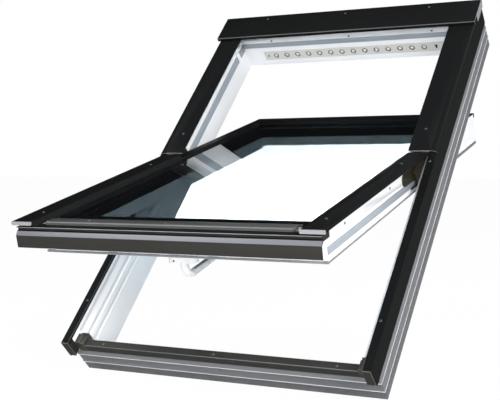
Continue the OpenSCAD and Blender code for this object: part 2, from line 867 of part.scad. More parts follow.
// Seals of the sash

module sash_seal() {
    low = sash_back + 14;
    along_v(rail_front + 4, pivot_height - 24) polygon([[sash_half, low], [sash_half, low + 11],
        [sash_half + 2.5, low + 11], [sash_half + lip_reach, low + 6], [sash_half + 2.5, low]]);
}

module left_sash_seal() { color("slategray") in_sash() on_left() sash_seal(); }
module right_sash_seal() { color("slategray") in_sash() sash_seal(); }

module sash_edge_gaskets() {
    low = sash_back - edge_gasket_t;
    out = sash_half + lip_reach;
    foot = rail_front - 4;
    color("dimgray") in_sash() {
        on_both() along_v(rail_front, sash_top) polygon([[out - edge_gasket_w, sash_back],
            [out - edge_gasket_w + 3, low], [out - 1.5, low], [out, low + 1.5], [out, sash_back]]);
        along_u(-out, out) polygon([[foot, sash_back], [foot, low + 1.5], [foot + 1.5, low],
            [rail_front, low], [rail_front, sash_back]]);
    }
}

module sash_screws_set() {
    color("silver") in_sash() {
        on_both() for (at = sash_screws) screw_w(at, 4);
        on_both() screw_w(upper_sash_screw, 4);
        for (at = bar_screws) screw_w(at, 10);
        on_both() for (side = [-1, 1])
            rod_u([sash_half + arm_t, pivot_height + side * (arm_half - arm_r), cover_plane - arm_drop], 5, 1.6);
    }
}

// Handle and latch

module handle_base() {
    reach = (base_length - base_w) / 2;
    color("white") in_sash() difference() {
        union() {
            box([-reach, handle_up - base_w / 2, base_face], [reach, handle_up + base_w / 2, sash_back]);
            for (u = [-reach, reach]) rod_w([u, handle_up, base_face], base_w / 2, base_t);
        }
        rod_w([0, handle_up, base_face - 1], spindle_r + running_play, base_t + 2);
    }
}

module handle_lever() {
    gap = 0.4;
    lean = 6;
    bend = [lean, handle_up + 12, neck_end + grip_r];
    tip = [lean, handle_up + grip_length, neck_end + grip_r + 5];
    color("white") in_sash() {
        rod_w([0, handle_up, base_face - gap], spindle_r, base_t + spindle_in);
        rod_w([0, handle_up, base_face - gap - 6], hub_r, 6);
        hull($fn = 24) {
            rod_w([0, handle_up, base_face - gap - 8], hub_r, 3);
            translate(bend) sphere(grip_r);
        }
        hull($fn = 24) {
            translate(bend) sphere(grip_r);
            translate(tip) scale([1.2, 1, 0.8]) sphere(grip_r);
        }
    }
}

module latch_bolt() {
    color("silver") in_sash()
        box([bolt_offset - bolt_w / 2, rail_front - bolt_sunk, bolt_height - bolt_t / 2],
            [bolt_offset + bolt_w / 2, rail_front + bolt_length - 12, bolt_height + bolt_t / 2]);
}

left_jamb();
right_jamb();
head();
sill();
left_casing();
right_casing();
top_casing();
bottom_casing();
left_side_cover();
right_side_cover();
left_end_cap();
right_end_cap();
left_upper_cover();
right_upper_cover();
upper_cover_plugs();
hood();
hood_rail();
sill_cover();
left_corner_block();
right_corner_block();
left_frame_seal();
right_frame_seal();
top_frame_seal();
lower_gaskets();
vent_strip();
left_hinge_track();
right_hinge_track();
latch_keep();
frame_screws();
left_stile();
right_stile();
top_rail();
bottom_rail();
left_sash_cover();
right_sash_cover();
left_sash_end_cap();
right_sash_end_cap();
left_upper_sash_cover();
right_upper_sash_cover();
top_rail_cover();
bottom_rail_cover();
glazing_bar();
outer_pane();
spacer();
inner_pane();
glazing_gaskets();
left_sash_seal();
right_sash_seal();
sash_edge_gaskets();
left_hinge_arm();
right_hinge_arm();
sash_screws_set();
handle_base();
handle_lever();
latch_bolt();
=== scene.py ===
"""Looks of a centre-pivot roof window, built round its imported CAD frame. Metres."""

import json
import math

import bmesh
import bpy
from bpy.props import FloatProperty, FloatVectorProperty, PointerProperty
from bpy.types import Operator, Panel, PropertyGroup
from mathutils import Matrix, Vector

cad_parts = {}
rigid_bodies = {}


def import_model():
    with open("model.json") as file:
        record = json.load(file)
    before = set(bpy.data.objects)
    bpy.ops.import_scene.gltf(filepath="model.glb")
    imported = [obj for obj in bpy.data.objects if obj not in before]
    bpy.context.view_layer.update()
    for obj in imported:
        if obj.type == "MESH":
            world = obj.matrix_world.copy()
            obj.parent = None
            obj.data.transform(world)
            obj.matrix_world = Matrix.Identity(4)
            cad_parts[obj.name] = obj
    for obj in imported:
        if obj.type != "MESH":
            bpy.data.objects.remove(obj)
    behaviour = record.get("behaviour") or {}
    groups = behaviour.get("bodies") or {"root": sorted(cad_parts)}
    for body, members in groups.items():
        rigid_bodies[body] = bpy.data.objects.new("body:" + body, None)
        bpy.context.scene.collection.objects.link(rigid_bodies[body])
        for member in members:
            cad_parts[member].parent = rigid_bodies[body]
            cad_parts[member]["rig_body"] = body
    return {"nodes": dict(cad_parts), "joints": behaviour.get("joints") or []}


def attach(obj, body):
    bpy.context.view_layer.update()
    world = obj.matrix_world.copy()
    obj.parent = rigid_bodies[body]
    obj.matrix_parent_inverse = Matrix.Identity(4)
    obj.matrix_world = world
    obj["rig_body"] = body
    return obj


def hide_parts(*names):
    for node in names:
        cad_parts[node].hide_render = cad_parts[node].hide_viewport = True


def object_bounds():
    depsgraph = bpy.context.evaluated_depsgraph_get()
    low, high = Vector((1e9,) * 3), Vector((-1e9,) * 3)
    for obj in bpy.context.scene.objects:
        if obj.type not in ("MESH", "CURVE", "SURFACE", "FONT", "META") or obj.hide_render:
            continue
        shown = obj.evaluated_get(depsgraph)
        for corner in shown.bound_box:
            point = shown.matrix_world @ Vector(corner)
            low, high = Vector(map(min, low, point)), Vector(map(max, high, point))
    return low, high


bl_info = {
    "name": "Roof window looks",
    "version": (1, 0, 0),
    "blender": (4, 5, 0),
    "location": "View3D > Sidebar > Roof window",
    "description": "Finishes, small parts and stage for a centre-pivot roof window",
    "category": "Object",
}

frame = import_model()
CAD_BOX = [list(corner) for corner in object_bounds()]
NODES = frame["nodes"]
PIVOT_JOINT = next(j for j in frame["joints"] if j["name"] == "sash_pivot")
MM = 0.001

# Directions of the window plane: across, up the roof, and out of the roof
ROOF_PITCH = math.radians(45.0)
ACROSS = Vector((1.0, 0.0, 0.0))
UP_ROOF = Vector((0.0, math.cos(ROOF_PITCH), math.sin(ROOF_PITCH)))
OUT = Vector((0.0, -math.sin(ROOF_PITCH), math.cos(ROOF_PITCH)))

# Main sizes of the frame and the sash, in the window's own millimetres
HALF_W = 390.0
FRAME_H = 1180.0
INNER = 351.0
HEAD_INNER = 1144.0
SILL_MIDDLE = 19.5
LEDGE = 96.0
SIDE_TOP = 133.0
COVER_PLANE = 140.0
HOOD_PLANE = 152.0
SILL_TOP = 100.0
PIVOT_UP = 608.0
SASH_HALF = 341.0
SASH_LOW = -39.0
STILE_INNER = 305.0
RAIL_BACK = 90.0
TOP_RAIL_FRONT = 1067.0
SHELF = 127.5
BAR_TOP = 135.0
BAR_HALF = 298.0
UPPER_SHEET = 132.5
BEAD_HEIGHTS = (30.0, 60.0)
BEAD_OUT = 1.5
VENT_FACE = 1142.0
VENT_MIDDLE = 35.5
VENT_PITCH = 36.0
VENT_COUNT = 15
HANDLE_UP = 48.0
OPEN_ANGLE = math.radians(-PIVOT_JOINT["range_deg"][0])

# Limits used when a CAD profile is copied and its corners are rounded
MERGE_GAP = 0.01 * MM
DOUBLE_GAP = 0.0001 * MM
FLAT_LIMIT = math.radians(0.5)
CORNER_ANGLE = math.radians(25.0)
SMOOTH_ANGLE = math.radians(40.0)
SHORTEST_CORNER = 9 * MM
WIDE_FACE = 2.2
SQUARE_ON = 0.99

# Places of the finishes in a cover's list of materials; the fold's place holds a painted highlight, a
# lighter colour for light caught on folds
MAIN_FINISH, FOLD_HIGHLIGHT, CUT_FINISH, SHELF_FINISH = range(4)


def window_matrix():
    """Turns window millimetres (across, up, out) into the row frame."""
    turn = Matrix((ACROSS, UP_ROOF, OUT)).transposed().to_4x4()
    return turn @ Matrix.Scale(MM, 4) @ Matrix.Translation((0.0, -SILL_MIDDLE, 0.0))


def sash_matrix():
    """The same for points of the shut sash, which stands open at rest."""
    pivot = Vector((0.0, PIVOT_UP, COVER_PLANE))
    swing = Matrix.Translation(pivot) @ Matrix.Rotation(-OPEN_ANGLE, 4, "X") @ Matrix.Translation(-pivot)
    return window_matrix() @ swing


class RoofWindowFinish(PropertyGroup):
    """Colours of the window's finishes."""

    plastic: FloatVectorProperty(
        name="White plastic", description="Colour of the frame and sash profiles",
        subtype="COLOR", size=3, default=(0.84, 0.85, 0.865), min=0.0, max=1.0)
    cover: FloatVectorProperty(
        name="Cover coating", description="Colour of the coated metal covers",
        subtype="COLOR", size=3, default=(0.0062, 0.0065, 0.0068), min=0.0, max=1.0)
    nose: FloatVectorProperty(
        name="Nose coating", description="Colour of the sash's bottom rail cover",
        subtype="COLOR", size=3, default=(0.0220, 0.0211, 0.0186), min=0.0, max=1.0)
    # Painted highlight: a colour lighter than the coating, standing for light caught on rounded folds and
    # the hood's front lip; the glazing bar's grey body takes it too
    fold: FloatVectorProperty(
        name="Fold lines", description="Colour of the coating where it is thin on a fold",
        subtype="COLOR", size=3, default=(0.056, 0.057, 0.057), min=0.0, max=1.0)
    cut: FloatVectorProperty(
        name="Cut edges", description="Colour of bare sheet edges",
        subtype="COLOR", size=3, default=(0.30, 0.30, 0.31), min=0.0, max=1.0)
    # Painted highlight: the nose's chamfer takes this lighter colour because it faces the sky
    nose_highlight: FloatVectorProperty(
        name="Nose band", description="Colour of the light band along the sash's nose",
        subtype="COLOR", size=3, default=(0.115, 0.120, 0.134), min=0.0, max=1.0)
    casing: FloatVectorProperty(
        name="Casing grey", description="Colour of the grey boards round the frame",
        subtype="COLOR", size=3, default=(0.138, 0.142, 0.149), min=0.0, max=1.0)
    seal: FloatVectorProperty(
        name="Seal grey", description="Colour of the grey rubber seals",
        subtype="COLOR", size=3, default=(0.30, 0.33, 0.365), min=0.0, max=1.0)
    rubber: FloatVectorProperty(
        name="Black rubber", description="Colour of the gaskets",
        subtype="COLOR", size=3, default=(0.006, 0.006, 0.007), min=0.0, max=1.0)
    cap: FloatVectorProperty(
        name="Cap grey", description="Colour of the light end caps",
        subtype="COLOR", size=3, default=(0.24, 0.24, 0.255), min=0.0, max=1.0)
    block: FloatVectorProperty(
        name="Block brown", description="Colour of the moulded corner blocks",
        subtype="COLOR", size=3, default=(0.034, 0.032, 0.025), min=0.0, max=1.0)
    hinge: FloatVectorProperty(
        name="Hinge metal", description="Colour of the passivated hinge plates",
        subtype="COLOR", size=3, default=(0.050, 0.043, 0.022), min=0.0, max=1.0)
    # Partly painted shade: the grey tint is deep enough to make the white parts seen behind the panes look
    # shaded
    glass: FloatVectorProperty(
        name="Glass tint", description="Colour that each face of a pane lends to the light",
        subtype="COLOR", size=3, default=(0.61, 0.668, 0.693), min=0.0, max=1.0)


class RoofWindowSizes(PropertyGroup):
    """Small sizes that the looks add to the CAD solids."""

    fold_radius: FloatProperty(
        name="Fold radius", description="Rounding of the folds of sheet and profiles",
        default=1.3 * MM, min=0.2 * MM, max=3 * MM, unit="LENGTH")
    hem_radius: FloatProperty(
        name="Hem radius", description="Rounding of thin sheet edges",
        default=0.35 * MM, min=0.05 * MM, max=1 * MM, unit="LENGTH")
    focal_length: FloatProperty(
        name="Focal length", description="Lens of the camera on a 36 mm sensor",
        default=74.53, min=20.0, max=200.0)


def finish():
    """The finish settings of the scene."""
    return bpy.context.scene.roof_window_finish


def sizes():
    """The size settings of the scene."""
    return bpy.context.scene.roof_window_sizes


# Shader groups

def new_socket(tree, name, in_out, kind, default=None):
    """Adds a socket to a node group."""
    socket = tree.interface.new_socket(name=name, in_out=in_out, socket_type=kind)
    if default is not None:
        socket.default_value = default


def surface_grain_group():
    """Fine grain with a cloudy change of tone: a colour, a roughness and a height."""
    existing = bpy.data.node_groups.get("surface_grain")
    if existing:
        return existing
    tree = bpy.data.node_groups.new("surface_grain", "ShaderNodeTree")
    new_socket(tree, "Colour", "INPUT", "NodeSocketColor", (0.5, 0.5, 0.5, 1.0))
    new_socket(tree, "Tone change", "INPUT", "NodeSocketFloat", 0.1)
    new_socket(tree, "Grain size", "INPUT", "NodeSocketFloat", 900.0)
    new_socket(tree, "Roughness", "INPUT", "NodeSocketFloat", 0.4)
    new_socket(tree, "Roughness change", "INPUT", "NodeSocketFloat", 0.08)
    new_socket(tree, "Colour", "OUTPUT", "NodeSocketColor")
    new_socket(tree, "Roughness", "OUTPUT", "NodeSocketFloat")
    new_socket(tree, "Height", "OUTPUT", "NodeSocketFloat")
    nodes = tree.nodes
    links = tree.links
    inputs = nodes.new("NodeGroupInput")
    outputs = nodes.new("NodeGroupOutput")
    place = nodes.new("ShaderNodeTexCoord")
    cloud = nodes.new("ShaderNodeTexNoise")
    cloud.inputs["Scale"].default_value = 7.0
    cloud.inputs["Detail"].default_value = 4.0
    grain = nodes.new("ShaderNodeTexNoise")
    grain.inputs["Detail"].default_value = 2.0
    links.new(place.outputs["Object"], cloud.inputs["Vector"])
    links.new(place.outputs["Object"], grain.inputs["Vector"])
    links.new(inputs.outputs["Grain size"], grain.inputs["Scale"])
    centre = nodes.new("ShaderNodeMath")
    centre.operation = "SUBTRACT"
    centre.inputs[1].default_value = 0.5
    links.new(cloud.outputs["Fac"], centre.inputs[0])
    amount = nodes.new("ShaderNodeMath")
    amount.operation = "MULTIPLY_ADD"
    amount.inputs[2].default_value = 1.0
    links.new(centre.outputs[0], amount.inputs[0])
    links.new(inputs.outputs["Tone change"], amount.inputs[1])
    tint = nodes.new("ShaderNodeVectorMath")
    tint.operation = "SCALE"
    links.new(inputs.outputs["Colour"], tint.inputs[0])
    links.new(amount.outputs[0], tint.inputs["Scale"])
    links.new(tint.outputs[0], outputs.inputs["Colour"])
    rough = nodes.new("ShaderNodeMath")
    rough.operation = "MULTIPLY_ADD"
    links.new(centre.outputs[0], rough.inputs[0])
    links.new(inputs.outputs["Roughness change"], rough.inputs[1])
    links.new(inputs.outputs["Roughness"], rough.inputs[2])
    links.new(rough.outputs[0], outputs.inputs["Roughness"])
    links.new(grain.outputs["Fac"], outputs.inputs["Height"])
    return tree


def grained_material(name, colour, roughness, tone=0.1, grain=900.0, bump=0.05, metallic=0.0,
                     coat=0.0, specular=0.5):
    """A finish with the shared grain: plastic, rubber, coating or metal."""
    existing = bpy.data.materials.get(name)
    if existing:
        return existing
    material = bpy.data.materials.new(name)
    material.use_nodes = True
    nodes = material.node_tree.nodes
    links = material.node_tree.links
    shader = nodes["Principled BSDF"]
    shader.inputs["Metallic"].default_value = metallic
    shader.inputs["Coat Weight"].default_value = coat
    shader.inputs["Specular IOR Level"].default_value = specular
    surface = nodes.new("ShaderNodeGroup")
    surface.node_tree = surface_grain_group()
    surface.inputs["Colour"].default_value = (*colour, 1.0)
    surface.inputs["Tone change"].default_value = tone
    surface.inputs["Grain size"].default_value = grain
    surface.inputs["Roughness"].default_value = roughness
    bump_node = nodes.new("ShaderNodeBump")
    bump_node.inputs["Strength"].default_value = bump
    bump_node.inputs["Distance"].default_value = 0.4 * MM
    links.new(surface.outputs["Colour"], shader.inputs["Base Color"])
    links.new(surface.outputs["Roughness"], shader.inputs["Roughness"])
    links.new(surface.outputs["Height"], bump_node.inputs["Height"])
    links.new(bump_node.outputs["Normal"], shader.inputs["Normal"])
    return material


def glass_material():
    """Grey tinted glass, which lets light fall through it with the same tint; the tint is deep enough to
    paint shade on the parts seen behind the panes.
    """
    name = "pane_glass"
    existing = bpy.data.materials.get(name)
    if existing:
        return existing
    material = bpy.data.materials.new(name)
    material.use_nodes = True
    nodes = material.node_tree.nodes
    links = material.node_tree.links
    shader = nodes["Principled BSDF"]
    shader.inputs["Base Color"].default_value = (*finish().glass, 1.0)
    shader.inputs["Roughness"].default_value = 0.0
    shader.inputs["IOR"].default_value = 1.5
    shader.inputs["Transmission Weight"].default_value = 1.0
    output = nodes["Material Output"]
    path = nodes.new("ShaderNodeLightPath")
    clear = nodes.new("ShaderNodeBsdfTransparent")
    clear.inputs["Color"].default_value = (*finish().glass, 1.0)
    mix = nodes.new("ShaderNodeMixShader")
    links.new(path.outputs["Is Shadow Ray"], mix.inputs["Fac"])
    links.new(shader.outputs["BSDF"], mix.inputs[1])
    links.new(clear.outputs["BSDF"], mix.inputs[2])
    links.new(mix.outputs["Shader"], output.inputs["Surface"])
    return material


# Finishes

def white_plastic():
    return grained_material("profile_white", finish().plastic, 0.30, tone=0.03, bump=0.02, coat=0.15)


def cover_coating():
    return grained_material("cover_coating", finish().cover, 0.5, tone=0.25, grain=1400.0, bump=0.10,
                            specular=0.07)


def nose_coating():
    return grained_material("nose_coating", finish().nose, 0.45, tone=0.2, grain=1400.0, bump=0.10,
                            specular=0.3)


# Painted highlight on rounded folds and the hood's front lip, and the glazing bar's own grey
def fold_highlight_and_bar_coating():
    return grained_material("fold_highlight_and_bar_coating", finish().fold, 0.36, tone=0.3, grain=500.0, bump=0.05,
                            specular=0.4)


# Painted highlight: a paler colour on the folds of the sill cover, the glazing bar, the end caps and the
# corner blocks
def pale_fold_highlight():
    return grained_material("pale_fold_highlight", (0.098, 0.099, 0.099), 0.36, tone=0.3, grain=500.0, bump=0.05)


# Painted shade: a darker copy of the profiles' white plastic, so that the strong low lamp does not wash out
# the handle
def shaded_handle_white():
    return grained_material("shaded_handle_white", (0.66, 0.665, 0.68), 0.32, tone=0.03, bump=0.02, coat=0.1)


def cut_sheet():
    return grained_material("cut_sheet", finish().cut, 0.4, tone=0.2, grain=700.0, bump=0.05, metallic=0.4)


# Painted highlight for the nose's chamfer that faces the sky
def nose_band_highlight():
    return grained_material("nose_band_highlight", finish().nose_highlight, 0.4, tone=0.1, grain=1100.0, bump=0.05)


# Painted highlight colour for the strips along the casing beads
def bead_highlight():
    return grained_material("bead_highlight", (0.62, 0.63, 0.66), 0.35, tone=0.08, grain=700.0, bump=0.03)


def screw_steel():
    return grained_material("screw_steel", (0.16, 0.16, 0.16), 0.32, tone=0.2, grain=900.0, bump=0.04,
                            metallic=0.7)


# Steel rims with a brown tint: a painted reflection of dark, brownish surroundings
def eyelet_steel_and_reflection():
    return grained_material("eyelet_steel_and_reflection", (0.30, 0.26, 0.22), 0.25, tone=0.2, grain=600.0, bump=0.04,
                            metallic=0.9)


# Black for the handle's screw plug, and painted shade: black marks where screw recesses, drain slots, hinge
# pockets and the vent slide's slot lie in shade
def black_plug_and_recess_shade():
    return grained_material("black_plug_and_recess_shade", (0.006, 0.006, 0.006), 0.7, tone=0.2, bump=0.05, specular=0.2)


# Painted shade for the inner side of the handle's lever
def lever_shade_grey():
    return grained_material("lever_shade_grey", (0.16, 0.165, 0.175), 0.5, tone=0.1, grain=1000.0, bump=0.1)


def gasket_grey():
    return grained_material("gasket_grey", (0.20, 0.205, 0.215), 0.5, tone=0.1, grain=1000.0, bump=0.06)


def pale_grey():
    return grained_material("pale_grey", (0.55, 0.55, 0.56), 0.42, tone=0.05, grain=900.0, bump=0.03)


def plug_grey():
    return grained_material("plug_grey", (0.10, 0.10, 0.102), 0.45, tone=0.1, grain=900.0, bump=0.05)


def vent_grey():
    return grained_material("vent_grey", (0.60, 0.59, 0.565), 0.4, tone=0.08, grain=600.0, bump=0.04)


def casing_grey():
    return grained_material("casing_grey", finish().casing, 0.48, tone=0.08, grain=700.0, bump=0.06)


def seal_grey():
    return grained_material("seal_grey", finish().seal, 0.55, tone=0.1, grain=1100.0, bump=0.08)


def black_rubber():
    return grained_material("gasket_black", finish().rubber, 0.6, tone=0.2, grain=1200.0, bump=0.1,
                            specular=0.08)


def cap_grey():
    return grained_material("cap_grey", finish().cap, 0.45, tone=0.06, grain=900.0, bump=0.05)


def block_brown():
    return grained_material("block_brown", finish().block, 0.5, tone=0.15, grain=800.0, bump=0.08)


def hinge_metal():
    return grained_material("passivated_hinge", finish().hinge, 0.35, tone=0.3, grain=500.0, bump=0.05,
                            metallic=0.6)


def bright_steel():
    return grained_material("bright_steel", (0.62, 0.62, 0.63), 0.28, tone=0.1, grain=900.0, bump=0.03,
                            metallic=1.0)


# Making pieces

def body_of(node_name):
    """The CAD body that a node rides on."""
    return NODES[node_name]["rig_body"]


def finished_object(name, shape, material, body):
    """Makes a piece from a bmesh that is already in the row frame."""
    mesh = bpy.data.meshes.new(name)
    shape.to_mesh(mesh)
    shape.free()
    mesh.polygons.foreach_set("use_smooth", [True] * len(mesh.polygons))
    mesh.set_sharp_from_angle(angle=SMOOTH_ANGLE)
    mesh.materials.append(material)
    piece = bpy.data.objects.new(name, mesh)
    bpy.context.scene.collection.objects.link(piece)
    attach(piece, body)
    return piece


def sheet_width(face, edge):
    """How far a face runs from an edge, taken as a strip of even width."""
    return face.calc_area() / edge.calc_length()


def long_corners(shape, narrowest):
    """Long outward corners of a profile: those of wide faces, and those of thin edges."""
    folds = []
    hems = []
    for edge in shape.edges:
        if len(edge.link_faces) != 2 or edge.calc_length() < SHORTEST_CORNER:
            continue
        if edge.calc_face_angle_signed(0.0) < CORNER_ANGLE:
            continue
        width = min(sheet_width(face, edge) for face in edge.link_faces)
        if width > narrowest:
            folds.append(edge)
        else:
            hems.append(edge)
    return folds, hems


def soften(node_name, material, fold=None, fold_highlight_material=None, cut_axis=None, sort=None):
    """A copy of a CAD profile with its folds rounded stands for the sharp one."""
    shape = bmesh.new()
    shape.from_mesh(NODES[node_name].data)
    bmesh.ops.remove_doubles(shape, verts=shape.verts, dist=MERGE_GAP)
    bmesh.ops.dissolve_limit(shape, angle_limit=FLAT_LIMIT, verts=shape.verts, edges=shape.edges,
                             delimit={"NORMAL"})
    shape.normal_update()
    for face in shape.faces:
        face.material_index = MAIN_FINISH
        if cut_axis is not None and abs(face.normal.dot(cut_axis)) > SQUARE_ON:
            face.material_index = CUT_FINISH
        if sort is not None:
            face.material_index = sort(face)
    fold = fold or sizes().fold_radius
    folds, hems = long_corners(shape, WIDE_FACE * fold)
    for edges, radius, steps in ((hems, sizes().hem_radius, 1), (folds, fold, 3)):
        edges = [edge for edge in edges if edge.is_valid]
        if not edges:
            continue
        made = bmesh.ops.bevel(shape, geom=edges, offset=radius, offset_type="OFFSET", affect="EDGES",
                               segments=steps, profile=0.5, material=-1, clamp_overlap=False)
        # The rounded folds take the fold colour: a painted highlight
        if fold_highlight_material and steps > 1:
            for face in made["faces"]:
                face.material_index = FOLD_HIGHLIGHT
    bmesh.ops.remove_doubles(shape, verts=shape.verts, dist=DOUBLE_GAP)
    piece = finished_object(node_name + "_soft", shape, material, body_of(node_name))
    if fold_highlight_material or cut_axis is not None or sort is not None:
        piece.data.materials.append(fold_highlight_material or material)
        piece.data.materials.append(cut_sheet())
    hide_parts(node_name)
    return piece


def merge_shapes(shapes):
    """Joins several bmeshes into one."""
    whole = bmesh.new()
    for shape in shapes:
        part = bpy.data.meshes.new("part")
        shape.to_mesh(part)
        shape.free()
        whole.from_mesh(part)
        bpy.data.meshes.remove(part)
    return whole


def profile_bar(section, length, bevel=0.0, steps=2):
    """A bar of one section, drawn in X and Y and pulled out along Z, with its corners rounded."""
    shape = bmesh.new()
    corners = [shape.verts.new((x, y, 0.0)) for x, y in section]
    face = shape.faces.new(corners)
    pulled = bmesh.ops.extrude_face_region(shape, geom=[face])
    moved = [item for item in pulled["geom"] if isinstance(item, bmesh.types.BMVert)]
    bmesh.ops.translate(shape, verts=moved, vec=(0.0, 0.0, length))
    bmesh.ops.recalc_face_normals(shape, faces=shape.faces)
    if bevel > 0.0:
        bmesh.ops.bevel(shape, geom=shape.edges[:], offset=bevel, offset_type="OFFSET", affect="EDGES",
                        segments=steps, profile=0.5, material=-1, clamp_overlap=True)
    return shape


def slab(low, high, bevel=0.0, steps=2):
    """A bar between two corners, in window millimetres."""
    section = ((low[0], low[1]), (high[0], low[1]), (high[0], high[1]), (low[0], high[1]))
    shape = profile_bar(section, high[2] - low[2], bevel, steps)
    bmesh.ops.translate(shape, verts=shape.verts, vec=(0.0, 0.0, low[2]))
    return shape


def side_slabs(across, low, high, bevel=0.0, steps=2):
    """One slab on each side: its two distances from the middle, and its low and high corner (up, out)."""
    shapes = []
    for side in (-1, 1):
        near, far = sorted(side * distance for distance in across)
        shapes.append(slab((near, *low), (far, *high), bevel, steps))
    return shapes


def turned(profile, steps=16):
    """A round shape: points of radius and height, spun about Z and closed at the middle."""
    shape = bmesh.new()
    verts = [shape.verts.new((radius, 0.0, height)) for radius, height in profile]
    edges = [shape.edges.new(pair) for pair in zip(verts, verts[1:])]
    bmesh.ops.spin(shape, geom=verts + edges, cent=(0.0, 0.0, 0.0), axis=(0.0, 0.0, 1.0),
                   angle=2 * math.pi, steps=steps, use_merge=True)
    bmesh.ops.remove_doubles(shape, verts=shape.verts, dist=0.001)
    bmesh.ops.recalc_face_normals(shape, faces=shape.faces)
    return shape


def aimed(shape, place, way):
    """Turns a shape made about Z to look another way, and moves it to its place."""
    turn = Vector(way).to_track_quat("Z", "Y").to_matrix().to_4x4()
    bmesh.ops.transform(shape, matrix=Matrix.Translation(place) @ turn, verts=shape.verts)
    return shape


def settled(name, shapes, matrix, material, body):
    """Joins shapes in window millimetres and puts them in the row frame as one piece."""
    whole = merge_shapes(shapes)
    bmesh.ops.transform(whole, matrix=matrix, verts=whole.verts)
    piece = finished_object(name, whole, material, body)
    return piece


def dress(node_name, material):
    """Gives a CAD node that keeps its shape its finish."""
    materials = NODES[node_name].data.materials
    materials.clear()
    materials.append(material)


class ROOFWINDOW_OT_profiles(Operator):
    """White plastic profiles of the frame and the sash"""

    bl_idname = "roof_window.profiles"
    bl_label = "Plastic profiles"

    def execute(self, context):
        for name in ("left_jamb", "right_jamb", "head", "sill", "left_stile", "right_stile", "top_rail",
                     "bottom_rail"):
            soften(name, white_plastic())
        return {"FINISHED"}


# End plates of the hood: their distances from the middle, and their low and high corner (up, out)
HOOD_END_ACROSS = (HALF_W + 1.6, HALF_W + 2.7)
HOOD_END_LOW = (FRAME_H - 58.0, 128.0)
HOOD_END_HIGH = (FRAME_H + 7.0, HOOD_PLANE - 3.2)


def hood_zone(face):
    """Which finish a face of the hood has: the coating, a painted highlight on the front fold where it
    faces out and down the roof, or a cut end.
    """
    if abs(face.normal.dot(ACROSS)) > SQUARE_ON:
        return CUT_FINISH
    if face.normal.dot(OUT) > 0.2 and face.normal.dot(-UP_ROOF) > 0.2:
        return FOLD_HIGHLIGHT
    return MAIN_FINISH


def nose_zone(face):
    """Which finish a face of the nose has: the body, a painted highlight on the chamfer that faces the sky,
    a bare edge or the dark shelf.
    """
    turn = sash_matrix().to_3x3()
    up = (turn @ Vector((0.0, 1.0, 0.0))).normalized()
    out = (turn @ Vector((0.0, 0.0, 1.0))).normalized()
    rise = face.normal.dot(out)
    if face.normal.dot(-up) > 0.3 and rise > 0.3:
        return FOLD_HIGHLIGHT
    middle = sash_matrix().inverted() @ face.calc_center_median()
    if face.normal.dot(-up) > 0.9 and middle.z > SHELF - 3.0:
        return CUT_FINISH
    if rise > 0.95:
        return SHELF_FINISH
    return MAIN_FINISH


class ROOFWINDOW_OT_covers(Operator):
    """Coated metal covers with rounded folds"""

    bl_idname = "roof_window.covers"
    bl_label = "Metal covers"

    def execute(self, context):
        for name in ("left_side_cover", "right_side_cover", "left_upper_cover", "right_upper_cover"):
            soften(name, cover_coating(), fold_highlight_material=fold_highlight_and_bar_coating(), cut_axis=UP_ROOF)
        soften("hood", cover_coating(), fold_highlight_material=fold_highlight_and_bar_coating(), sort=hood_zone)
        soften("sill_cover", nose_coating(), fold_highlight_material=pale_fold_highlight())
        plates = side_slabs(HOOD_END_ACROSS, HOOD_END_LOW, HOOD_END_HIGH, 0.3, 1)
        settled("hood_end_plates", plates, window_matrix(), cap_grey(), "frame")
        for name in ("left_sash_cover", "right_sash_cover", "left_upper_sash_cover",
                     "right_upper_sash_cover", "top_rail_cover"):
            soften(name, cover_coating(), fold_highlight_material=fold_highlight_and_bar_coating())
        soften("glazing_bar", fold_highlight_and_bar_coating(), fold=1.0 * MM, fold_highlight_material=pale_fold_highlight())
        nose = soften("bottom_rail_cover", nose_coating(), fold=0.6 * MM, sort=nose_zone)
        # The chamfer that faces the sky takes a lighter colour in the fold's place: a painted highlight
        nose.data.materials[FOLD_HIGHLIGHT] = nose_band_highlight()
        nose.data.materials.append(cover_coating())
        for name in ("left_end_cap", "right_end_cap"):
            soften(name, nose_coating(), fold=0.7 * MM, fold_highlight_material=pale_fold_highlight())
        for name in ("left_corner_block", "right_corner_block"):
            soften(name, block_brown(), fold=0.7 * MM, fold_highlight_material=pale_fold_highlight())
        soften("hood_rail", pale_grey())
        for name in ("left_sash_end_cap", "right_sash_end_cap"):
            soften(name, cap_grey(), fold=0.8 * MM)
        dress("upper_cover_plugs", plug_grey())
        return {"FINISHED"}


# Painted highlights: pale strips along the beads of the grey boards, standing for the light the beads catch
HIGHLIGHT_HALF = 1.3
HIGHLIGHT_DEPTH = 0.3


class ROOFWINDOW_OT_casing(Operator):
    """Grey boards round the frame"""

    bl_idname = "roof_window.casing"
    bl_label = "Grey casing"

    def execute(self, context):
        for name in ("left_casing", "right_casing", "top_casing", "bottom_casing"):
            soften(name, casing_grey(), fold=0.5 * MM)
        # Pale strips on the beads: painted highlights
        shapes = []
        edge = HALF_W + BEAD_OUT
        top = FRAME_H + BEAD_OUT
        for height in BEAD_HEIGHTS:
            low = height - HIGHLIGHT_HALF
            high = height + HIGHLIGHT_HALF
            shapes += side_slabs((edge, edge + HIGHLIGHT_DEPTH), (-BEAD_OUT, low), (top, high), 0.1, 1)
            for front, back in ((-BEAD_OUT - HIGHLIGHT_DEPTH, -BEAD_OUT), (top, top + HIGHLIGHT_DEPTH)):
                shapes.append(slab((-edge, front, low), (edge, back, high), 0.1, 1))
        settled("casing_bead_highlights", shapes, window_matrix(), bead_highlight(), "frame")
        return {"FINISHED"}


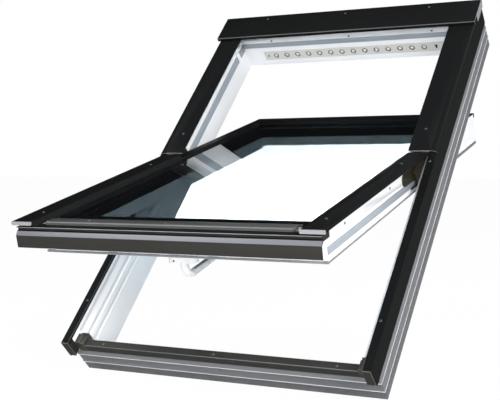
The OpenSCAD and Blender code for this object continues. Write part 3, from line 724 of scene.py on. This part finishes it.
# Sections of the side seals: how far they stand off their face, and their height out of the roof
JAMB_SEAL = ((0.0, 61.0), (2.6, 61.6), (3.0, 68.0), (2.2, 72.5), (2.8, 77.0), (2.0, 83.2), (0.0, 84.0))
STILE_SEAL = ((0.0, 65.5), (3.0, 66.3), (3.4, 71.5), (2.6, 74.0), (3.2, 76.5), (2.4, 81.2), (0.0, 82.0))
JAMB_SEAL_RUN = (673.0, 1141.0)
STILE_SEAL_RUN = (34.0, 584.0)

# Drain slots and hinge pockets, whose shade is painted as black marks, and edge strips, by how far up the
# roof they lie, and depths of thin strips
DRAIN_SLOTS_UP = (SASH_LOW + 170.0, SASH_LOW + 446.0)
DRAIN_SLOT_LENGTH = 6.0
HINGE_POCKET_RUN = (552.0, 600.0)
EDGE_STRIP_RUN = (640.0, 1133.0)
GLAZING_BEAD = 1.2
BEAD_GAP = 0.05
SEAL_CLIP = 4.0


def upright_bar(outline, low, high):
    """A bar whose section lies across the window, running up the roof between two heights."""
    bar = profile_bar(outline, high - low, 0.3, 1)
    stand = Matrix(((1.0, 0.0, 0.0), (0.0, 0.0, 1.0), (0.0, 1.0, 0.0))).to_4x4()
    bmesh.ops.transform(bar, matrix=Matrix.Translation((0.0, low, 0.0)) @ stand, verts=bar.verts)
    bmesh.ops.recalc_face_normals(bar, faces=bar.faces)
    return bar


def lip_seal(node_name, bar, matrix, body):
    """A lobed seal stands for the plain CAD one."""
    piece = settled(node_name + "_lips", [bar], matrix, seal_grey(), body)
    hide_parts(node_name)


class ROOFWINDOW_OT_seals(Operator):
    """Rubber seals and gaskets of the frame and the sash"""

    bl_idname = "roof_window.seals"
    bl_label = "Seals and gaskets"

    def execute(self, context):
        soften("top_frame_seal", seal_grey(), fold=0.8 * MM)
        for side, word in ((-1, "left"), (1, "right")):
            outline = [(side * (INNER - out), height) for out, height in JAMB_SEAL]
            seal = upright_bar(outline, *JAMB_SEAL_RUN)
            lip_seal(word + "_frame_seal", seal, window_matrix(), "frame")
            outline = [(side * (SASH_HALF + out), height) for out, height in STILE_SEAL]
            seal = upright_bar(outline, *STILE_SEAL_RUN)
            lip_seal(word + "_sash_seal", seal, sash_matrix(), "sash")
        # Painted shade: thin black slabs on the stile sides where the drain slots and hinge pockets lie in
        # shade
        shade_marks = []
        for up in DRAIN_SLOTS_UP:
            across = (SASH_HALF, SASH_HALF + 0.25)
            shade_marks += side_slabs(across, (up, 99.0), (up + DRAIN_SLOT_LENGTH, 104.5))
        low, high = HINGE_POCKET_RUN
        shade_marks += side_slabs((SASH_HALF, SASH_HALF + 0.4), (low, 55.0), (high, 65.0))
        settled("drain_slot_and_hinge_pocket_shade", shade_marks, sash_matrix(), black_plug_and_recess_shade(), "sash")
        dress("lower_gaskets", pale_grey())
        soften("sash_edge_gaskets", gasket_grey(), fold=0.8 * MM)
        low, high = EDGE_STRIP_RUN
        strips = side_slabs((SASH_HALF - 4.0, SASH_HALF + 3.5), (low, 45.0), (high, 49.2), 1.2)
        settled("upper_edge_strips", strips, sash_matrix(), gasket_grey(), "sash")
        for name in ("glazing_gaskets", "spacer"):
            dress(name, black_rubber())
        across = (STILE_INNER - GLAZING_BEAD, STILE_INNER)
        beads = side_slabs(across, (RAIL_BACK, 80.0), (TOP_RAIL_FRONT, 101.8), 0.4, 1)
        reach = STILE_INNER - GLAZING_BEAD - BEAD_GAP
        for low in (RAIL_BACK, TOP_RAIL_FRONT - GLAZING_BEAD):
            high = low + GLAZING_BEAD
            beads.append(slab((-reach, low, 80.0), (reach, high, 101.8), 0.4, 1))
        settled("inner_glazing_beads", beads, sash_matrix(), black_rubber(), "sash")
        across = (STILE_INNER + 0.5, STILE_INNER + 3.5)
        lips = side_slabs(across, (RAIL_BACK, 47.0), (TOP_RAIL_FRONT, 54.3), 0.8)
        settled("stile_back_lips", lips, sash_matrix(), white_plastic(), "sash")
        clips = side_slabs((INNER - SEAL_CLIP, INNER), (1086.0, 62.0), (1102.0, 90.0), 0.8)
        settled("seal_clips", clips, window_matrix(), white_plastic(), "frame")
        return {"FINISHED"}


class ROOFWINDOW_OT_glazing(Operator):
    """Panes of the glass unit"""

    bl_idname = "roof_window.glazing"
    bl_label = "Glass"

    def execute(self, context):
        for name in ("outer_pane", "inner_pane"):
            dress(name, glass_material())
        return {"FINISHED"}


# A pan head and a piece of its shank: radius and height
PAN_TOP = ((0.0, 1.5), (1.4, 1.45), (2.4, 1.1), (3.0, 0.5), (3.15, 0.0))
PAN_HEAD = (*PAN_TOP, (1.6, 0.0), (1.6, -3.0), (0.0, -3.0))
RECESS_LEVEL = 1.42
OUTWARD = (0.0, 0.0, 1.0)
DOWN_ROOF = (0.0, -1.0, 0.0)


def cross_recess_shade(height):
    """Two slim crossed bars, painted shade that shows as the recess of a screw head."""
    return [slab((-1.7, -0.4, height), (1.7, 0.4, height + 0.12)),
            slab((-0.4, -1.7, height), (0.4, 1.7, height + 0.12))]


def screw_row(name, places, matrix, body, node=None):
    """Pan-head screws at a list of places, each with the way it looks."""
    heads = [aimed(turned(PAN_HEAD), place, way) for place, way in places]
    piece = settled(name, heads, matrix, screw_steel(), body)
    if node:
        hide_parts(node)
    # Painted shade: black crossed bars on each head stand for the recess
    shade_marks = [aimed(bar, place, way) for place, way in places for bar in cross_recess_shade(RECESS_LEVEL)]
    settled(name + "_shaded_recesses", shade_marks, matrix, black_plug_and_recess_shade(), body)


class ROOFWINDOW_OT_screws(Operator):
    """Pan-head screws of the frame and the sash"""

    bl_idname = "roof_window.screws"
    bl_label = "Screws"

    def execute(self, context):
        places = [((u, FRAME_H - 9.0, HOOD_PLANE), OUTWARD) for u in (-250.0, 0.0, 250.0)]
        places += [((u, 8.0, SILL_TOP), OUTWARD) for u in (-300.0, 0.0, 300.0)]
        places += [((u, v, SIDE_TOP), OUTWARD)
                   for u in (-380.0, 380.0) for v in (108.0, PIVOT_UP - 24.0)]
        places += [((u, PIVOT_UP + 82.0, COVER_PLANE), OUTWARD) for u in (-348.0, 348.0)]
        places += [((u, VENT_FACE, VENT_MIDDLE), DOWN_ROOF) for u in (-277.0, 277.0)]
        places += [((u, HEAD_INNER, LEDGE - 6.0), DOWN_ROOF) for u in (-250.0, 0.0, 250.0)]
        screw_row("frame_screw_heads", places, window_matrix(), "frame", "frame_screws")
        places = [((u, v + SASH_LOW, COVER_PLANE), OUTWARD)
                  for u in (-345.0, 345.0) for v in (75.0, 530.0)]
        places += [((u, PIVOT_UP + 203.0, UPPER_SHEET), OUTWARD) for u in (-324.0, 324.0)]
        places += [((u, SASH_LOW + 36.0, BAR_TOP), OUTWARD) for u in (-192.0, 0.0, 192.0)]
        places += [((side * 345.0, PIVOT_UP + v, 96.0), (side, 0.0, 0.0))
                   for side in (-1, 1) for v in (-99.0, 99.0)]
        screw_row("sash_screw_heads", places, sash_matrix(), "sash", "sash_screws_set")
        return {"FINISHED"}


# Rim and valve disc of a ventilation hole: radius, and height out of the strip
VENT_RIM = ((5.4, -1.4), (5.5, 0.2), (6.2, 0.9), (7.4, 0.8), (8.3, 0.0), (5.4, -1.4))
VENT_DISC = ((0.0, 1.0), (3.4, 0.8), (5.0, -0.2), (5.2, -1.4), (0.0, -1.4))
VENT_REACH = (VENT_COUNT - 1) / 2 * VENT_PITCH


def slide_plate(half, depths, heights, bevel=0.0, steps=2):
    """A plate over the last hole: half its width, how far it stands out, and its heights."""
    low = (VENT_REACH - half, VENT_FACE - depths[0], VENT_MIDDLE + heights[0])
    high = (VENT_REACH + half, VENT_FACE - depths[1], VENT_MIDDLE + heights[1])
    return slab(low, high, bevel, steps)


class ROOFWINDOW_OT_vent(Operator):
    """Ventilation strip with rimmed holes, their valve discs and a slide"""

    bl_idname = "roof_window.vent"
    bl_label = "Ventilation strip"

    def execute(self, context):
        dress("vent_strip", vent_grey())
        rims = []
        discs = []
        for i in range(VENT_COUNT - 1):
            u = i * VENT_PITCH - VENT_REACH
            rims.append(aimed(turned(VENT_RIM, 20), (u, VENT_FACE, VENT_MIDDLE), DOWN_ROOF))
            discs.append(aimed(turned(VENT_DISC), (u - 0.5, VENT_FACE + 1.2, VENT_MIDDLE), DOWN_ROOF))
        settled("vent_rims", rims, window_matrix(), eyelet_steel_and_reflection(), "frame")
        settled("vent_discs", discs, window_matrix(), white_plastic(), "frame")
        guide = slide_plate(8.0, (0.5, 0.0), (-7.5, 7.5), 0.2, 1)
        settled("vent_slide_guide", [guide], window_matrix(), vent_grey(), "frame")
        # Painted shade: black plates where the slide's slot lies in shade
        slot = slide_plate(2.5, (0.7, 0.4), (-5.0, 6.0))
        cross = slide_plate(5.0, (0.7, 0.4), (4.0, 6.5))
        settled("vent_slide_slot_shade", [slot, cross], window_matrix(), black_plug_and_recess_shade(), "frame")
        return {"FINISHED"}


# The clips beside the glazing bar: their section (up, out), their width, and their gap to the bar
CLIP_SECTION = (
    (-15.0, 0.0), (0.0, 0.0), (0.0, 4.5), (-1.2, 4.5), (-1.2, 1.2), (-13.8, 1.2), (-13.8, 3.0),
    (-15.0, 3.0))
CLIP_SHEET = 1.2
CLIP_WIDTH = 12.0
CLIP_GAP = 1.5


class ROOFWINDOW_OT_hinges(Operator):
    """Hinge plates, and the clips beside the glazing bar"""

    bl_idname = "roof_window.hinges"
    bl_label = "Hinges and clips"

    def execute(self, context):
        for name in ("left_hinge_track", "right_hinge_track", "left_hinge_arm", "right_hinge_arm"):
            dress(name, hinge_metal())
        turn = Matrix(((0.0, 0.0, 1.0), (1.0, 0.0, 0.0), (0.0, 1.0, 0.0))).to_4x4()
        shapes = []
        for start in (-BAR_HALF - CLIP_GAP - CLIP_WIDTH, BAR_HALF + CLIP_GAP):
            clip = profile_bar(CLIP_SECTION, CLIP_WIDTH, 0.25, 1)
            place = Matrix.Translation((start, 0.0, SHELF))
            bmesh.ops.transform(clip, matrix=place @ turn, verts=clip.verts)
            shapes.append(clip)
            middle = (start + CLIP_WIDTH / 2, -7.5, SHELF + CLIP_SHEET)
            shapes.append(aimed(turned((*PAN_TOP, (0.0, 0.0))), middle, OUTWARD))
        settled("glazing_bar_clips", shapes, sash_matrix(), bright_steel(), "sash")
        return {"FINISHED"}


# The lever's middle line from the hub to the tip, with its half width and half thickness
LEVER_PATH = (
    ((0.0, 48.0, 33.4), 9.0, 9.0), ((0.0, 48.0, 28.0), 9.0, 9.0), ((0.3, 48.2, 22.0), 9.2, 8.6),
    ((1.0, 49.2, 16.0), 9.4, 8.2), ((2.2, 51.4, 10.5), 9.4, 8.0), ((3.6, 55.0, 6.2), 9.4, 7.8),
    ((5.0, 60.0, 3.6), 9.3, 7.8), ((5.8, 66.5, 2.6), 9.2, 7.8), ((6.0, 76.0, 2.9), 9.0, 7.6),
    ((6.0, 110.0, 4.4), 9.0, 7.2), ((6.0, 150.0, 6.2), 9.4, 6.8), ((6.0, 165.0, 6.9), 9.4, 6.4),
    ((6.0, 171.5, 7.2), 8.2, 5.4), ((6.0, 175.0, 7.3), 5.0, 3.2))


def bent_bar(path, sides):
    """An oval bar pulled out ring by ring along a bent line."""
    shape = bmesh.new()
    bmesh.ops.create_circle(shape, cap_ends=True, segments=sides, radius=1.0)
    middles = [Vector(step[0]) for step in path]
    last = Matrix.Identity(4)
    for i, (middle, wide, thick) in enumerate(path):
        ahead = (middles[min(i + 1, len(path) - 1)] - middles[max(i - 1, 0)]).normalized()
        side = ACROSS - ahead * ACROSS.dot(ahead)
        side.normalize()
        ring = Matrix((side * wide, ahead.cross(side) * thick, ahead)).transposed().to_4x4()
        ring.translation = middle
        if i:
            pulled = bmesh.ops.extrude_face_region(shape, geom=[end])
            verts = [item for item in pulled["geom"] if isinstance(item, bmesh.types.BMVert)]
            old_end = end
            end = next(item for item in pulled["geom"] if isinstance(item, bmesh.types.BMFace))
            if i > 1:
                bmesh.ops.delete(shape, geom=[old_end], context="FACES_ONLY")
            bmesh.ops.transform(shape, matrix=ring @ last.inverted(), verts=verts)
        else:
            bmesh.ops.transform(shape, matrix=ring, verts=shape.verts)
            end = next(iter(shape.faces))
        last = ring
    bmesh.ops.recalc_face_normals(shape, faces=shape.faces)
    return shape


# Round parts of the handle: radius and height
SCREW_PLUG = ((0.0, 0.5), (1.8, 0.4), (2.2, 0.0), (2.2, -1.0), (0.0, -1.0))
SPINDLE = ((0.0, 0.0), (4.0, 0.0), (4.0, 50.0), (0.0, 50.0))


class ROOFWINDOW_OT_handle(Operator):
    """Handle, latch and keep"""

    bl_idname = "roof_window.handle"
    bl_label = "Handle and latch"

    def execute(self, context):
        for name in ("latch_keep", "latch_bolt"):
            dress(name, bright_steel())
        soften("handle_base", shaded_handle_white(), fold=4.0 * MM)
        plug = aimed(turned(SCREW_PLUG), (-16.0, HANDLE_UP - 15.0, 39.0), DOWN_ROOF)
        settled("handle_screw_plug", [plug], sash_matrix(), black_plug_and_recess_shade(), "sash")
        spindle = turned(SPINDLE)
        bmesh.ops.translate(spindle, verts=spindle.verts, vec=(0.0, HANDLE_UP, 31.0))
        bars = [bent_bar(LEVER_PATH, 24), spindle]
        lever = settled("handle_lever_smooth", bars, sash_matrix(), shaded_handle_white(), "handle")
        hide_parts("handle_lever")
        # Painted shade: a dark grey strip along the inner side of the lever, where it lies in shade
        start = Vector((6.0, HANDLE_UP + 24.0, 9.4))
        end = Vector((6.0, HANDLE_UP + 118.0, 12.9))
        shade_strip = slab((-4.5, -0.9, 0.0), (4.5, 0.9, (end - start).length), 0.7, 2)
        aimed(shade_strip, start, end - start)
        settled("lever_shade_strip", [shade_strip], sash_matrix(), lever_shade_grey(), "handle")
        return {"FINISHED"}


# Stage

CAMERA_PLACE = (1.13846, -2.09001, 0.49154)
CAMERA_HEADING = math.radians(27.429)
CAMERA_DIP = math.radians(2.060)
CAMERA_ROLL = math.radians(-0.263)

# Strength of the surroundings: straight through the panes, as light on the object, and in reflections
THROUGH_GLASS = 52.0
SKY_LIGHT = 0.45
IN_GLOSS = 0.3

# Part of the floor that shows as plain white, and the rest shows the shadow
FLOOR_WHITE = 0.97
FLOOR_HALF = 30.0

# Square lamps: place, the point they look at, width and watts
LAMPS = {
    "key_lamp": ((-2.2, -2.6, 3.2), (0.0, 0.3, 0.45), 2.2, 120.0),
    "side_lamp": ((3.0, -2.2, 1.7), (0.0, 0.3, 0.6), 1.6, 140.0),
    "back_lamp": ((2.2, 2.0, 3.4), (0.0, 0.3, 0.45), 1.8, 45.0),
    "low_lamp": ((1.5, -6.3, 0.25), (0.0, 0.3, 0.45), 3.0, 390.0),
}


def number(nodes, links, operation, first, second):
    """One step of arithmetic between sockets or plain numbers."""
    step = nodes.new("ShaderNodeMath")
    step.operation = operation
    for place, value in enumerate((first, second)):
        if isinstance(value, (int, float)):
            step.inputs[place].default_value = value
        else:
            links.new(value, step.inputs[place])
    return step.outputs[0]


def seen_strengths(nodes, links, gloss, clear):
    """How bright the surroundings look, and whether they show at all or only light the object."""
    path = nodes.new("ShaderNodeLightPath")
    camera = path.outputs["Is Camera Ray"]
    through = path.outputs["Is Transmission Ray"]
    glossy = path.outputs["Is Glossy Ray"]
    bounces = number(nodes, links, "ADD", path.outputs["Diffuse Depth"], path.outputs["Glossy Depth"])
    first_look = number(nodes, links, "LESS_THAN", bounces, 0.5)
    boost = number(nodes, links, "MULTIPLY", first_look, THROUGH_GLASS - SKY_LIGHT)
    pane = number(nodes, links, "MULTIPLY", through, number(nodes, links, "ADD", boost, SKY_LIGHT))
    pane = number(nodes, links, "MULTIPLY", pane, clear)
    mirror = number(nodes, links, "SUBTRACT", glossy, through)
    mirror = number(nodes, links, "MAXIMUM", mirror, 0.0)
    shine = number(nodes, links, "MULTIPLY", mirror, gloss)
    strength = number(nodes, links, "ADD", camera, number(nodes, links, "ADD", pane, shine))
    shown = number(nodes, links, "MAXIMUM", camera, number(nodes, links, "MAXIMUM", through, glossy))
    return strength, shown


def stage_material(name, colour, share_shown):
    """White to the camera, brighter through glass and dimmer in gloss, with a trace of shadow."""
    material = bpy.data.materials.new(name)
    material.use_nodes = True
    nodes = material.node_tree.nodes
    links = material.node_tree.links
    shader = nodes["Principled BSDF"]
    shader.inputs["Base Color"].default_value = (*colour, 1.0)
    shader.inputs["Roughness"].default_value = 0.9
    shader.inputs["Specular IOR Level"].default_value = 0.1
    strength, shown = seen_strengths(nodes, links, IN_GLOSS, 1.0)
    glow = nodes.new("ShaderNodeEmission")
    mix = nodes.new("ShaderNodeMixShader")
    links.new(strength, glow.inputs["Strength"])
    links.new(number(nodes, links, "MULTIPLY", shown, share_shown), mix.inputs["Fac"])
    links.new(shader.outputs["BSDF"], mix.inputs[1])
    links.new(glow.outputs["Emission"], mix.inputs[2])
    links.new(mix.outputs["Shader"], nodes["Material Output"].inputs["Surface"])
    return material


def studio_world():
    """White behind the object, dark overhead in glass and gloss, and a soft light all round."""
    world = bpy.data.worlds.new("studio")
    bpy.context.scene.world = world
    world.use_nodes = True
    nodes = world.node_tree.nodes
    links = world.node_tree.links
    way = nodes.new("ShaderNodeTexCoord")
    parts = nodes.new("ShaderNodeSeparateXYZ")
    links.new(way.outputs["Generated"], parts.inputs[0])
    ceiling = nodes.new("ShaderNodeMapRange")
    ceiling.interpolation_type = "SMOOTHSTEP"
    ceiling.inputs["From Min"].default_value = 0.06
    ceiling.inputs["From Max"].default_value = 0.26
    ceiling.inputs["To Min"].default_value = 1.0
    ceiling.inputs["To Max"].default_value = 0.02
    links.new(parts.outputs["Z"], ceiling.inputs["Value"])
    gloss = number(nodes, links, "MULTIPLY", ceiling.outputs["Result"], IN_GLOSS)
    strength, seen = seen_strengths(nodes, links, gloss, ceiling.outputs["Result"])
    shown = nodes["Background"]
    shown.inputs["Color"].default_value = (1.0, 1.0, 1.0, 1.0)
    links.new(strength, shown.inputs["Strength"])
    light = nodes.new("ShaderNodeBackground")
    light.inputs["Color"].default_value = (0.93, 0.96, 1.0, 1.0)
    light.inputs["Strength"].default_value = SKY_LIGHT
    mix = nodes.new("ShaderNodeMixShader")
    links.new(seen, mix.inputs["Fac"])
    links.new(light.outputs["Background"], mix.inputs[1])
    links.new(shown.outputs["Background"], mix.inputs[2])
    links.new(mix.outputs["Shader"], nodes["World Output"].inputs["Surface"])


def soft_box(name, place, aim, width, watts):
    """A square lamp that looks at a point."""
    lamp = bpy.data.lights.new(name, "AREA")
    lamp.shape = "SQUARE"
    lamp.size = width
    lamp.energy = watts
    holder = bpy.data.objects.new(name, lamp)
    holder.location = place
    holder.rotation_euler = (Vector(aim) - Vector(place)).to_track_quat("-Z", "Y").to_euler()
    bpy.context.scene.collection.objects.link(holder)


class ROOFWINDOW_OT_stage(Operator):
    """Pale floor, soft lamps, white surroundings and the camera"""

    bl_idname = "roof_window.stage"
    bl_label = "Stage"

    def execute(self, context):
        scene = context.scene
        scene.view_settings.view_transform = "Standard"
        floor_shape = bmesh.new()
        bmesh.ops.create_grid(floor_shape, x_segments=1, y_segments=1, size=FLOOR_HALF)
        floor_level = CAD_BOX[0][2] - 2 * MM
        bmesh.ops.translate(floor_shape, verts=floor_shape.verts, vec=(0.0, 0.0, floor_level))
        mesh = bpy.data.meshes.new("floor")
        floor_shape.to_mesh(mesh)
        floor_shape.free()
        mesh.materials.append(stage_material("floor_white", (0.92, 0.92, 0.92), FLOOR_WHITE))
        floor = bpy.data.objects.new("floor", mesh)
        scene.collection.objects.link(floor)
        studio_world()
        for name, (place, aim, width, watts) in LAMPS.items():
            soft_box(name, place, aim, width, watts)
        camera = bpy.data.cameras.new("camera")
        camera.sensor_width = 36.0
        camera.lens = sizes().focal_length
        camera.clip_end = 100.0
        holder = bpy.data.objects.new("camera", camera)
        turn = Matrix.Rotation(CAMERA_HEADING, 4, "Z") @ Matrix.Rotation(math.pi / 2 - CAMERA_DIP, 4, "X")
        holder.matrix_world = Matrix.Translation(CAMERA_PLACE) @ turn @ Matrix.Rotation(CAMERA_ROLL, 4, "Z")
        scene.collection.objects.link(holder)
        scene.camera = holder
        return {"FINISHED"}


class ROOFWINDOW_PT_looks(Panel):
    """Lists the steps that dress the window"""

    bl_label = "Roof window"
    bl_idname = "ROOFWINDOW_PT_looks"
    bl_space_type = "VIEW_3D"
    bl_region_type = "UI"
    bl_category = "Roof window"

    def draw(self, context):
        for operator in OPERATORS:
            self.layout.operator(operator.bl_idname)
        for group in (finish(), sizes()):
            for name in group.__annotations__:
                self.layout.prop(group, name)


OPERATORS = (ROOFWINDOW_OT_profiles, ROOFWINDOW_OT_covers, ROOFWINDOW_OT_casing, ROOFWINDOW_OT_seals,
             ROOFWINDOW_OT_glazing, ROOFWINDOW_OT_screws, ROOFWINDOW_OT_vent, ROOFWINDOW_OT_hinges,
             ROOFWINDOW_OT_handle, ROOFWINDOW_OT_stage)
CLASSES = (RoofWindowFinish, RoofWindowSizes, *OPERATORS, ROOFWINDOW_PT_looks)


def register():
    for item in CLASSES:
        bpy.utils.register_class(item)
    bpy.types.Scene.roof_window_finish = PointerProperty(type=RoofWindowFinish)
    bpy.types.Scene.roof_window_sizes = PointerProperty(type=RoofWindowSizes)


def unregister():
    del bpy.types.Scene.roof_window_sizes
    del bpy.types.Scene.roof_window_finish
    for item in reversed(CLASSES):
        bpy.utils.unregister_class(item)


def main():
    register()
    bpy.ops.roof_window.profiles()
    bpy.ops.roof_window.covers()
    bpy.ops.roof_window.casing()
    bpy.ops.roof_window.seals()
    bpy.ops.roof_window.glazing()
    bpy.ops.roof_window.screws()
    bpy.ops.roof_window.vent()
    bpy.ops.roof_window.hinges()
    bpy.ops.roof_window.handle()
    bpy.ops.roof_window.stage()


if __name__ == "__main__":
    main()
